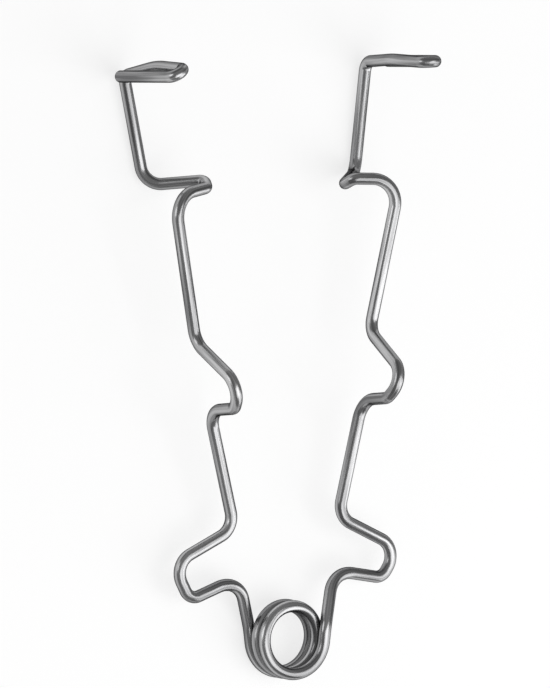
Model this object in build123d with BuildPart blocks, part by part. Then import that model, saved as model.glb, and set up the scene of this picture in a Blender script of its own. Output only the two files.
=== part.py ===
from build123d import *
import os
from math import cos, degrees, pi, radians, sin

# Self-retaining eye speculum bent from one length of round spring wire.
# All lengths are in millimetres and all angles in degrees.
# As bent, X is the spread between the arms, Y runs from the coil to the blades,
# and Z is the axis of the coil. The arms mirror each other across the YZ plane.
# Each bend is placed from the one before it, as the wire is bent on the bench.

# Wire and coil
wire_diameter = 1.5
wire_end_rounding = 0.55
coil_inside_diameter = 6.75
coil_turn_gap = 0.05
coil_half_turns = 5

# Leg that leaves the coil along its tangent, bends out at once and ends in the shoulder
coil_exit_angle = 5.0
leg_root_length = 1.8
leg_root_radius = 3.5
shoulder_reach = 8.0
shoulder_half_spread = 6.95
shoulder_radius = 3.4
arm_plane_depth = -0.25

# Finger bend, a U for thumb or forefinger, and the waist above it
finger_depth = 7.2
finger_dip = 1.85
finger_rise = 2.2
finger_flare = 2.4
finger_low_radius = 1.6
finger_high_radius = 2.4
waist_inset = 8.9
waist_rise = 4.1
waist_radius = 2.5

# Lower arm, and the hump that steps out towards the coil's upper side
lower_arm_reach = 14.4
lower_arm_splay = 3.6
hump_step_rise = 0.7
hump_step_depth = 5.45
hump_shoulder_rise = 2.9
hump_shoulder_depth = 2.65
hump_shoulder_splay = 0.9
hump_return_rise = 4.75
hump_return_depth = 8.8
hump_return_splay = 0.65
hump_low_radius = 2.7
hump_out_radius = 1.35
hump_top_radius = 2.4
hump_end_radius = 2.6

# Upper arm, and the jog that points inwards with a tight hairpin at its tip
upper_arm_reach = 18.3
upper_arm_splay = 3.8
upper_arm_lift = 1.1
elbow_radius = 3.0
jog_width = 5.8
jog_rise = 0.45
jog_depth = 1.65
hairpin_span = 1.3
hairpin_inset = 0.5
hairpin_radius = 0.95
foot_return = 5.2
foot_depth = 5.4
foot_radius = 2.45

# Post and blade, an open loop with a slanted tip whose free end stops beside the post
post_length = 13.45
post_splay = 2.3
post_depth = 0.95
head_radius = 1.2
blade_length = 12.6
blade_gap = 0.5
blade_lift_angle = 4.0
blade_toe_in = 1.3
blade_bow = 0.35
blade_bow_rise = 0.3
blade_bow_position = 6.5
blade_bow_radius = 12.0
blade_tip_skew = 1.3
blade_tip_radius = 0.88
blade_end_setback = 1.4
left_blade_roll = 25.0
right_blade_roll = 0.0

# Hand bending sets each of these bends this much higher on the right arm
# and lower on the left one
finger_stagger = 0.5
waist_stagger = 0.25
elbow_stagger = 0.2
hairpin_stagger = -0.75

wire_radius = wire_diameter / 2
coil_radius = (coil_inside_diameter + wire_diameter) / 2
coil_pitch = wire_diameter + coil_turn_gap
blade_run_spacing = wire_diameter + blade_gap

# The wire leaves the coil this much before the turn is full
exit_angle = radians(coil_exit_angle)
coil_angle = coil_half_turns * pi - 2 * exit_angle
coil_height = coil_pitch * coil_angle / (2 * pi)
coil_slope = coil_pitch / (2 * pi * coil_radius)


def arm_bends(side):
    """Corners and bend radii of one arm from the coil to the post's foot; side is 1 or -1."""
    coil_exit = Vector(coil_radius * cos(exit_angle), -coil_radius * sin(exit_angle), side * coil_height / 2)
    leg_direction = Vector(sin(exit_angle), cos(exit_angle), side * coil_slope).normalized()
    leg_root = coil_exit + leg_direction * leg_root_length
    shoulder = Vector(shoulder_half_spread, shoulder_reach, arm_plane_depth)
    finger_low = shoulder + Vector(finger_depth, -finger_dip, 0)
    finger_high = shoulder + Vector(finger_depth + finger_flare, finger_rise, 0)
    waist = finger_high + Vector(-waist_inset, waist_rise, 0)
    hump_low = waist + Vector(lower_arm_splay, lower_arm_reach, 0)
    hump_out = hump_low + Vector(0, hump_step_rise, hump_step_depth)
    hump_top = hump_out + Vector(hump_shoulder_splay, hump_shoulder_rise, hump_shoulder_depth)
    hump_end = hump_top + Vector(hump_return_splay, hump_return_rise, -hump_return_depth)
    elbow = hump_end + Vector(upper_arm_splay, upper_arm_reach, upper_arm_lift)
    hairpin_start = elbow + Vector(-jog_width, jog_rise, -jog_depth)
    hairpin_end = hairpin_start + Vector(-hairpin_inset, 0, -hairpin_span)
    foot = hairpin_end + Vector(foot_return, 0, -foot_depth)

    finger_low += Vector(0, side * finger_stagger, 0)
    waist += Vector(0, side * waist_stagger, 0)
    elbow += Vector(0, side * elbow_stagger, 0)
    hairpin_end += Vector(0, side * hairpin_stagger, 0)
    corners = [coil_exit, leg_root, shoulder, finger_low, finger_high, waist, hump_low, hump_out,
               hump_top, hump_end, elbow, hairpin_start, hairpin_end, foot]
    radii = [leg_root_radius, shoulder_radius, finger_low_radius, finger_high_radius, waist_radius,
             hump_low_radius, hump_out_radius, hump_top_radius, hump_end_radius, elbow_radius,
             hairpin_radius, hairpin_radius, foot_radius]
    return corners, radii


def blade_bends(foot, roll):
    """Corners and bend radii from the top of the post round the blade loop to the free end."""
    along = Vector(-sin(radians(blade_toe_in)), sin(radians(blade_lift_angle)), 1).normalized()
    across = Vector(cos(radians(roll)), -sin(radians(roll)), 0) * blade_run_spacing
    lift = Vector(0, -across.Y, 0)
    head = foot + Vector(post_splay, post_length, -post_depth)
    inner_bow = head + along * blade_bow_position + lift + Vector(-blade_bow, blade_bow_rise, 0)
    inner_tip = head + along * blade_length + lift
    outer_tip = inner_tip + across + along * blade_tip_skew
    free_end = head + lift + across + along * blade_end_setback
    corners = [head, inner_bow, inner_tip, outer_tip, free_end]
    radii = [head_radius, blade_bow_radius, blade_tip_radius, blade_tip_radius]
    return corners, radii


def arm_line(side, roll):
    """Centre line of one arm, from the coil to the blade's free end."""
    corners, radii = arm_bends(side)
    blade_corners, blade_radii = blade_bends(corners[-1], roll)
    mirrored = [Vector(side * point.X, point.Y, point.Z) for point in corners + blade_corners]
    return FilletPolyline(*mirrored, radius=radii + blade_radii)


# The coil climbs from the left arm's exit to the right arm's
coil_start = Pos(0, 0, -coil_height / 2) * Rot(Z=180 + degrees(exit_angle))
coil_line = coil_start * Helix(coil_pitch, coil_height, coil_radius)

with BuildPart() as bent_wire:
    with BuildLine() as centre_line:
        add(coil_line)
        arm_line(1, right_blade_roll)
        arm_line(-1, left_blade_roll)
    wire_path = centre_line.wire()
    with BuildSketch(Plane(wire_path @ 0, z_dir=wire_path % 0)):
        Circle(wire_radius)
    sweep(path=wire_path)
    cut_ends = bent_wire.faces().filter_by(GeomType.PLANE)
    fillet(cut_ends.edges(), wire_end_rounding)

# At rest it lies on the back turn of the coil and on the corners below both posts,
# so it is tilted until the coil and the arms reach down to the same floor
coil_samples = 200
wire_samples = 600
tilt_steps = 40
steepest_tilt = 20
coil_points = [coil_line @ (i / coil_samples) for i in range(coil_samples + 1)]
wire_points = [wire_path @ (i / wire_samples) for i in range(wire_samples + 1)]
arm_points = [point for point in wire_points if point.Y > shoulder_reach]


def lowest(points, tilt):
    """Lowest of the points once the wire is tilted about its spread."""
    return min(point.Z * cos(radians(tilt)) + point.Y * sin(radians(tilt)) for point in points)


def resting_tilt():
    """Halve the range of tilts until the coil and the arms touch down together."""
    flatter, steeper = 0, steepest_tilt
    for _ in range(tilt_steps):
        between = (flatter + steeper) / 2
        if lowest(arm_points, between) < lowest(coil_points, between):
            flatter = between
        else:
            steeper = between
    return flatter


tilted = Rot(X=resting_tilt())
tilted_box = (tilted * bent_wire.part).bounding_box()
box_middle = tilted_box.center()
laid_down = Pos(-box_middle.X, -box_middle.Y, -tilted_box.min.Z) * tilted

with BuildPart() as spring_wire:
    with Locations(laid_down):
        add(bent_wire.part)

spring_wire.part.label = "spring_wire"
os.makedirs("parts", exist_ok=True)
export_step(spring_wire.part, "parts/spring_wire.step")
print("wire length", round(wire_path.length, 1), "tilt", round(resting_tilt(), 3))
print("section times length", round(pi * wire_radius ** 2 * wire_path.length, 1))
print("volume", round(spring_wire.part.volume, 1), "size", spring_wire.part.bounding_box().size)
print("laid down by", laid_down.position)
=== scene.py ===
import math

import bpy
import numpy as np
from mathutils import Matrix, Vector


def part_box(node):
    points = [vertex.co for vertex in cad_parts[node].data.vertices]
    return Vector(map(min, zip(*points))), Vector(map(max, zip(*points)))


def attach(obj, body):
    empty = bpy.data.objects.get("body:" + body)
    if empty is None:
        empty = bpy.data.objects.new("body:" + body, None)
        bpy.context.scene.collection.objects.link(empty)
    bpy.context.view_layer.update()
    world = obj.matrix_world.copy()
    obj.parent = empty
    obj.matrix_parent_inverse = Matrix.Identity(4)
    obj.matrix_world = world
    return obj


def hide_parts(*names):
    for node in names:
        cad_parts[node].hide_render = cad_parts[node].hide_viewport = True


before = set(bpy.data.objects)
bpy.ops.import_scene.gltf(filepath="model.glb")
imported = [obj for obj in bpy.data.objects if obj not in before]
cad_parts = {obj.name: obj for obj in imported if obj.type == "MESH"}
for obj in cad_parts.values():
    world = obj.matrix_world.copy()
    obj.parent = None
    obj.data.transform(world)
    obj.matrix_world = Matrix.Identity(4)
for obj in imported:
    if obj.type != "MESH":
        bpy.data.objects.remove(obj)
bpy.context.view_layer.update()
mm = 0.001


def linearColour(hexColour):
    # sRGB hex to the linear values that Blender wants
    channels = [int(hexColour[i:i + 2], 16) / 255 for i in (1, 3, 5)]
    return [c / 12.92 if c <= 0.04045 else ((c + 0.055) / 1.055) ** 2.4 for c in channels] + [1.0]


def addNode(tree, kind, settings=None, **links):
    # one node; a link's value is a number, a colour or another node's output
    node = tree.nodes.new(kind)
    for name, value in (settings or {}).items():
        setattr(node, name, value)
    for name, value in links.items():
        socket = node.inputs[int(name[2:])] if name.startswith("in") else node.inputs[name.replace("_", " ")]
        if isinstance(value, bpy.types.NodeSocket):
            tree.links.new(value, socket)
        else:
            socket.default_value = value
    return node


# The wire: one length of round spring wire, bent cold.
# Sizes in millimetres and degrees, from one bend to the next, as it is bent on the bench.
# X is the spread of the arms, Y runs from the coil to the blades, Z is the coil's axis.
wire = {
    "diameter": 1.5, "endRounding": 0.55,
    "coilInside": 6.75, "turnGap": 0.05, "halfTurns": 5, "exitAngle": 5.0,
    "legRoot": 1.8, "legRootRadius": 3.5,
    # each bend of an arm: its move from the last one, its radius, and how much higher
    # hand bending left it on the right arm and lower on the left one
    "bends": {
        "shoulder": ((6.95, 8.0, -0.25), 3.4, 0),
        "fingerLow": ((7.2, -1.85, 0), 1.6, 0.5),
        "fingerHigh": ((2.4, 4.05, 0), 2.4, 0),
        "waist": ((-8.9, 4.1, 0), 2.5, 0.25),
        "humpLow": ((3.6, 14.4, 0), 2.7, 0),
        "humpOut": ((0, 0.7, 5.45), 1.35, 0),
        "humpTop": ((0.9, 2.9, 2.65), 2.4, 0),
        "humpEnd": ((0.65, 4.75, -8.8), 2.6, 0),
        "elbow": ((3.8, 18.3, 1.1), 3.0, 0.2),
        "hairpinStart": ((-5.8, 0.45, -1.65), 0.95, 0),
        "hairpinEnd": ((-0.5, 0, -1.3), 0.95, -0.75),
        "foot": ((5.2, 0, -5.4), 2.45, 0),
        "head": ((2.3, 13.45, -0.95), 1.2, 0),
    },
    "bladeLength": 12.6, "bladeGap": 0.5, "bladeLift": 4.0, "bladeToeIn": 1.3, "leftBladeRoll": 25.0,
    "bladeBow": (-0.35, 0.3), "bladeBowAt": 6.5, "bladeBowRadius": 12.0,
    "bladeTipSkew": 1.3, "bladeTipRadius": 0.88, "bladeEndSetback": 1.4,
    "stepsPerTurn": 72, "stepsPerBend": 18, "sides": 48, "endSteps": 10,
    "steepestTilt": 20.0, "tiltHalvings": 40,
}

coilRadius = (wire["coilInside"] + wire["diameter"]) / 2
coilPitch = wire["diameter"] + wire["turnGap"]
exitAngle = math.radians(wire["exitAngle"])
coilTurn = wire["halfTurns"] * math.pi - 2 * exitAngle
coilHeight = coilPitch * coilTurn / (2 * math.pi)


def armBends(side, roll):
    # corners and bend radii of one arm, from the coil to the blade's free end
    exitX, exitY = math.cos(exitAngle), math.sin(exitAngle)
    coilSlope = coilPitch / (2 * math.pi * coilRadius)
    exitPoint = Vector((coilRadius * exitX, -coilRadius * exitY, side * coilHeight / 2))
    legDirection = Vector((exitY, exitX, side * coilSlope)).normalized()
    bends = [(exitPoint, 0), (exitPoint + legDirection * wire["legRoot"], wire["legRootRadius"])]
    place = Vector((0, 0, 0))
    for move, radius, stagger in wire["bends"].values():
        place = place + Vector(move)
        bends.append((place + Vector((0, side * stagger, 0)), radius))

    # the blade goes up from the head, turns at its slanted tip and comes back beside itself
    lift, toeIn, turn = (math.radians(angle) for angle in (wire["bladeLift"], wire["bladeToeIn"], roll))
    along = Vector((-math.sin(toeIn), math.sin(lift), 1)).normalized()
    across = Vector((math.cos(turn), -math.sin(turn), 0)) * (wire["diameter"] + wire["bladeGap"])
    start = place + Vector((0, -across.y, 0))
    bow = start + along * wire["bladeBowAt"] + Vector((*wire["bladeBow"], 0))
    innerTip = start + along * wire["bladeLength"]
    outerTip = innerTip + across + along * wire["bladeTipSkew"]
    freeEnd = start + across + along * wire["bladeEndSetback"]
    bends.append((bow, wire["bladeBowRadius"]))
    bends += [(tip, wire["bladeTipRadius"]) for tip in (innerTip, outerTip)]

    # rings that close the wire's rounded end
    inward = (outerTip - freeEnd).normalized()
    for step in range(wire["endSteps"], 0, -1):
        depth = wire["endRounding"] * (1 - math.cos(step / wire["endSteps"] * math.pi / 2))
        bends.append((freeEnd + inward * depth, 0))
    bends.append((freeEnd, 0))
    return [(Vector((side * p.x, p.y, p.z)), radius) for p, radius in bends]


def coilBends():
    # the coil climbs from the left arm's exit to the right arm's
    steps = round(wire["stepsPerTurn"] * coilTurn / (2 * math.pi))
    bends = []
    for step in range(1, steps):
        share = step / steps
        angle = math.pi + exitAngle + share * coilTurn
        height = (share - 0.5) * coilHeight
        bends.append((Vector((coilRadius * math.cos(angle), coilRadius * math.sin(angle), height)), 0))
    return bends


def bendLine():
    # the wire's corners as a line of edges, each with its bend radius, in metres
    bends = armBends(-1, wire["leftBladeRoll"])[::-1] + coilBends() + armBends(1, 0)
    mesh = bpy.data.meshes.new("springWire")
    mesh.from_pydata([p * mm for p, radius in bends], [(i, i + 1) for i in range(len(bends) - 1)], [])
    radii = mesh.attributes.new("bendRadius", "FLOAT", "POINT")
    radii.data.foreach_set("value", [radius * mm for p, radius in bends])
    piece = bpy.data.objects.new("springWire", mesh)
    bpy.context.scene.collection.objects.link(piece)
    return piece


def wireTree(material):
    # Geometry Nodes that round the corners and sweep the wire's section along the line
    tree = bpy.data.node_groups.new("bentWire", "GeometryNodeTree")
    sockets = tree.interface
    sockets.new_socket("Line", in_out="INPUT", socket_type="NodeSocketGeometry")
    inputs = {}
    for name, kind in (("Wire radius", "NodeSocketFloat"), ("End rounding", "NodeSocketFloat"),
                       ("Steps per bend", "NodeSocketInt"), ("Sides", "NodeSocketInt")):
        inputs[name] = sockets.new_socket(name, in_out="INPUT", socket_type=kind).identifier
    sockets.new_socket("Wire", in_out="OUTPUT", socket_type="NodeSocketGeometry")
    given = addNode(tree, "NodeGroupInput").outputs
    wireRadius, endRounding = given["Wire radius"], given["End rounding"]

    corner = addNode(tree, "GeometryNodeInputNamedAttribute", {"data_type": "FLOAT"}, Name="bendRadius")
    line = addNode(tree, "GeometryNodeMeshToCurve", Mesh=given["Line"])
    rounded = addNode(tree, "GeometryNodeFilletCurve", {"mode": "POLY"}, Curve=line.outputs["Curve"],
                      Count=given["Steps per bend"], Radius=corner.outputs["Attribute"])

    # the section shrinks over the last bit of each end, along a quarter circle, as a filed end does
    place = addNode(tree, "GeometryNodeSplineParameter").outputs["Length"]
    whole = addNode(tree, "GeometryNodeSplineLength").outputs["Length"]
    rest = addNode(tree, "ShaderNodeMath", {"operation": "SUBTRACT"}, in0=whole, in1=place)
    fromEnd = addNode(tree, "ShaderNodeMath", {"operation": "MINIMUM"}, in0=place, in1=rest.outputs[0])
    short = addNode(tree, "ShaderNodeMath", {"operation": "SUBTRACT", "use_clamp": True},
                    in0=endRounding, in1=fromEnd.outputs[0])
    fullSquare = addNode(tree, "ShaderNodeMath", {"operation": "POWER"}, in0=endRounding, in1=2.0)
    shortSquare = addNode(tree, "ShaderNodeMath", {"operation": "POWER"}, in0=short.outputs[0], in1=2.0)
    arcSquare = addNode(tree, "ShaderNodeMath", {"operation": "SUBTRACT"},
                        in0=fullSquare.outputs[0], in1=shortSquare.outputs[0])
    arc = addNode(tree, "ShaderNodeMath", {"operation": "SQRT"}, in0=arcSquare.outputs[0])
    flat = addNode(tree, "ShaderNodeMath", {"operation": "SUBTRACT"}, in0=wireRadius, in1=endRounding)
    ring = addNode(tree, "ShaderNodeMath", {"operation": "ADD"}, in0=flat.outputs[0], in1=arc.outputs[0])
    share = addNode(tree, "ShaderNodeMath", {"operation": "DIVIDE"}, in0=ring.outputs[0], in1=wireRadius)

    # the surface carries its own coordinates: the place in the section and along the wire
    section = addNode(tree, "GeometryNodeCurvePrimitiveCircle", Resolution=given["Sides"], Radius=wireRadius)
    onSection = addNode(tree, "GeometryNodeCaptureAttribute", Geometry=section.outputs["Curve"])
    onSection.capture_items.new("VECTOR", "Section")
    tree.links.new(addNode(tree, "GeometryNodeInputPosition").outputs[0], onSection.inputs[1])
    onLine = addNode(tree, "GeometryNodeCaptureAttribute", Geometry=rounded.outputs["Curve"])
    onLine.capture_items.new("FLOAT", "Place")
    tree.links.new(place, onLine.inputs[1])
    tube = addNode(tree, "GeometryNodeCurveToMesh", Curve=onLine.outputs["Geometry"],
                   Profile_Curve=onSection.outputs["Geometry"], Scale=share.outputs[0], Fill_Caps=True)
    split = addNode(tree, "ShaderNodeSeparateXYZ", in0=onSection.outputs[1])
    own = addNode(tree, "ShaderNodeCombineXYZ", X=split.outputs["X"], Y=split.outputs["Y"],
                  Z=onLine.outputs[1])
    named = addNode(tree, "GeometryNodeStoreNamedAttribute", {"data_type": "FLOAT_VECTOR", "domain": "POINT"},
                    Geometry=tube.outputs["Mesh"], Name="wirePlace", Value=own.outputs["Vector"])
    smooth = addNode(tree, "GeometryNodeSetShadeSmooth", Geometry=named.outputs["Geometry"])
    real = addNode(tree, "GeometryNodeRealizeInstances", Geometry=smooth.outputs["Geometry"])
    finished = addNode(tree, "GeometryNodeSetMaterial", Geometry=real.outputs["Geometry"], Material=material)
    addNode(tree, "NodeGroupOutput", Wire=finished.outputs["Geometry"])
    return tree, inputs


def restTilt(points):
    # it lies on the back of the coil and on the corners below both posts:
    # halve the range of tilts until both touch down together
    onCoil = points[:, 1] < 0
    flatter, steeper = 0.0, math.radians(wire["steepestTilt"])
    for step in range(wire["tiltHalvings"]):
        tilt = (flatter + steeper) / 2
        height = points[:, 2] * math.cos(tilt) + points[:, 1] * math.sin(tilt)
        if height[~onCoil].min() < height[onCoil].min():
            flatter = tilt
        else:
            steeper = tilt
    return tilt


def springWire(material):
    # makes the wire, lays it down where the CAD piece lies and returns how it was laid down
    piece = bendLine()
    tree, inputs = wireTree(material)
    modifier = piece.modifiers.new("Bent wire", "NODES")
    modifier.node_group = tree
    sizes = {
        "Wire radius": wire["diameter"] / 2 * mm, "End rounding": wire["endRounding"] * mm,
        "Steps per bend": wire["stepsPerBend"], "Sides": wire["sides"],
    }
    for name, value in sizes.items():
        modifier[inputs[name]] = value
    evaluated = piece.evaluated_get(bpy.context.evaluated_depsgraph_get())
    mesh = bpy.data.meshes.new_from_object(evaluated)
    piece.modifiers.remove(modifier)
    piece.data = mesh

    tilt = restTilt(np.array([v.co for v in mesh.vertices]))
    tilted = Matrix.Rotation(tilt, 4, "X")
    mesh.transform(tilted)
    points = np.array([v.co for v in mesh.vertices])
    low, high = Vector(points.min(0)), Vector(points.max(0))
    cadLow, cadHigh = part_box("spring_wire")
    shift = (cadLow + cadHigh - low - high) / 2
    shift.z = cadLow.z - low.z
    moved = Matrix.Translation(shift)
    mesh.transform(moved)
    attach(piece, "root")
    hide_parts("spring_wire")
    print("wire:", len(mesh.polygons), "faces, tilted by", round(math.degrees(tilt), 3), "degrees")
    return moved @ tilted


# Polished stainless spring steel: drawn through a die, bent, then tumbled bright.
# To the eye: near-mirror bands along the wire, broken by faint draw lines and a slight ripple,
# and long streaks where the polish took less. Sizes are in millimetres, round the wire and along it.
# Real draw lines are about 0.02 mm wide, too fine to show, so they are drawn 0.16 mm wide.
steel = {
    "colour": "#acacad", "paler": "#d0d0d1", "dull": "#767677", "edge": "#505050",
    "drawLine": (0.16, 9.0), "drawRange": (0.3, 0.7), "roughness": (0.16, 0.34),
    "polishStreak": (0.5, 14.0), "polishRange": (0.36, 0.64),
    "ripple": (1.6, 5.0), "rippleDepth": 0.035, "rippleStrength": 0.6,
}


def polishedSteel():
    material = bpy.data.materials.new("polishedStainlessWire")
    material.use_nodes = True
    tree = material.node_tree
    tree.nodes.clear()
    place = addNode(tree, "ShaderNodeAttribute", {"attribute_name": "wirePlace"}).outputs["Vector"]

    def streaks(size, detail):
        # noise with cells this wide round the wire and this long down it
        around, along = size
        cells = Vector((1 / (around * mm), 1 / (around * mm), 1 / (along * mm)))
        stretched = addNode(tree, "ShaderNodeMapping", in0=place, Scale=cells)
        noise = addNode(tree, "ShaderNodeTexNoise", Vector=stretched.outputs[0], Scale=1.0, Detail=detail)
        return noise.outputs[0]

    drawLines = streaks(steel["drawLine"], 2.0)
    ripple = streaks(steel["ripple"], 1.0)
    lined = addNode(tree, "ShaderNodeMix", {"data_type": "RGBA"}, in0=drawLines,
                    in6=linearColour(steel["colour"]), in7=linearColour(steel["paler"]))
    low, high = steel["polishRange"]
    polished = addNode(tree, "ShaderNodeMapRange", Value=streaks(steel["polishStreak"], 2.0),
                       From_Min=low, From_Max=high)
    colour = addNode(tree, "ShaderNodeMix", {"data_type": "RGBA"}, in0=polished.outputs[0],
                     in6=linearColour(steel["dull"]), in7=lined.outputs[2])
    low, high = steel["drawRange"]
    glossy, satin = steel["roughness"]
    rough = addNode(tree, "ShaderNodeMapRange", Value=drawLines, From_Min=low, From_Max=high,
                    To_Min=glossy, To_Max=satin)
    bump = addNode(tree, "ShaderNodeBump", Strength=steel["rippleStrength"],
                   Distance=steel["rippleDepth"] * mm, Height=ripple)
    shader = addNode(tree, "ShaderNodeBsdfPrincipled", Base_Color=colour.outputs[2], Metallic=1.0,
                     Roughness=rough.outputs[0], Specular_Tint=linearColour(steel["edge"]),
                     Normal=bump.outputs[0])
    addNode(tree, "ShaderNodeOutputMaterial", Surface=shader.outputs[0])
    print("material:", material.name)
    return material


laidDown = springWire(polishedSteel())

# Floor: a plain pale board that reads as white, also in the steel, and keeps a faint shadow
floorLook = {"colour": "#9c9c9c", "glow": 0.71, "size": 8.0}


def paleFloor():
    material = bpy.data.materials.new("paleBoard")
    material.use_nodes = True
    tree = material.node_tree
    tree.nodes.clear()
    rays = addNode(tree, "ShaderNodeLightPath").outputs
    seen = rays["Is Camera Ray"]
    for ray in ("Is Glossy Ray", "Is Transmission Ray"):
        either = addNode(tree, "ShaderNodeMath", {"operation": "ADD", "use_clamp": True},
                         in0=seen, in1=rays[ray])
        seen = either.outputs[0]
    glow = addNode(tree, "ShaderNodeMath", {"operation": "MULTIPLY"}, in0=seen, in1=floorLook["glow"])
    board = addNode(tree, "ShaderNodeBsdfDiffuse", Color=linearColour(floorLook["colour"]))
    light = addNode(tree, "ShaderNodeEmission", Strength=glow.outputs[0])
    both = addNode(tree, "ShaderNodeAddShader", in0=board.outputs[0], in1=light.outputs[0])
    addNode(tree, "ShaderNodeOutputMaterial", Surface=both.outputs[0])

    half = floorLook["size"] / 2
    corners = [(-half, -half, 0), (half, -half, 0), (half, half, 0), (-half, half, 0)]
    mesh = bpy.data.meshes.new("floor")
    mesh.from_pydata(corners, [], [(0, 1, 2, 3)])
    mesh.materials.append(material)
    floor = bpy.data.objects.new("floor", mesh)
    bpy.context.scene.collection.objects.link(floor)
    print("floor:", floorLook["size"], "m wide")


paleFloor()

# Light: a large soft box overhead, one at the lower right, a small low one on the left
# and a dull grey room. Distances and sizes are in metres.
lamps = {
    "overhead": {"towards": (0.12, -0.31, 0.94), "distance": 0.6, "size": (0.70, 0.50), "brightness": 1.95},
    "right": {"towards": (0.76, -0.48, 0.44), "distance": 0.6, "size": (0.50, 0.42), "brightness": 1.8},
    "left": {"towards": (-0.93, 0.28, 0.20), "distance": 0.6, "size": (0.30, 0.30), "brightness": 1.5},
}
roomGrey = "#909090"


def softBox(name, towards, distance, size, brightness):
    # the power goes with the area, so a larger box isn't duller in the steel
    light = bpy.data.lights.new(name, "AREA")
    light.shape = "RECTANGLE"
    light.size, light.size_y = size
    light.energy = brightness * math.pi * light.size * light.size_y
    lamp = bpy.data.objects.new(name, light)
    lamp.location = Vector(towards).normalized() * distance
    lamp.rotation_euler = Vector(towards).to_track_quat("Z", "Y").to_euler()
    bpy.context.scene.collection.objects.link(lamp)


for lampName, lampLook in lamps.items():
    softBox(lampName, **lampLook)
room = bpy.data.worlds.new("room")
room.use_nodes = True
room.node_tree.nodes["Background"].inputs["Color"].default_value = linearColour(roomGrey)
bpy.context.scene.world = room
print("lights:", ", ".join(lamps))

# Camera: far off and nearly without perspective, looking down on the lying wire from its
# left side. Turn and rise are the angles to the wire as bent, before it is laid down.
# Lengths are in millimetres.
shot = {
    "turn": 34.0, "rise": 5.76, "pixelsPerMm": 8.2, "coilCentrePixel": (287.3, 639.5),
    "imageSize": (550, 688), "distance": 2500.0, "sensor": 36.0, "focusDepth": 2.6, "clipEnd": 50000.0,
}


def photoCamera():
    turn, rise = math.radians(shot["turn"]), math.radians(shot["rise"])
    right = Vector((math.cos(turn), 0, math.sin(turn)))
    back = Vector((-math.sin(turn) * math.cos(rise), math.sin(rise), math.cos(turn) * math.cos(rise)))
    up = back.cross(right)
    width, height = shot["imageSize"]
    coilX, coilY = shot["coilCentrePixel"]
    aim = right * (width / 2 - coilX) / shot["pixelsPerMm"] + up * (coilY - height / 2) / shot["pixelsPerMm"]
    aim += back * shot["focusDepth"]
    turned = Matrix((right, up, back)).transposed().to_4x4()
    placed = Matrix.Translation((aim + back * shot["distance"]) * mm) @ turned
    data = bpy.data.cameras.new("camera")
    data.sensor_width = shot["sensor"]
    data.lens = shot["sensor"] * shot["distance"] * shot["pixelsPerMm"] / height
    data.clip_end = shot["clipEnd"] * mm
    camera = bpy.data.objects.new("camera", data)
    camera.matrix_world = laidDown @ placed
    bpy.context.scene.collection.objects.link(camera)
    bpy.context.scene.camera = camera
    print("camera: lens", round(data.lens), "mm")


photoCamera()
bpy.context.scene.view_settings.view_transform = "Standard"
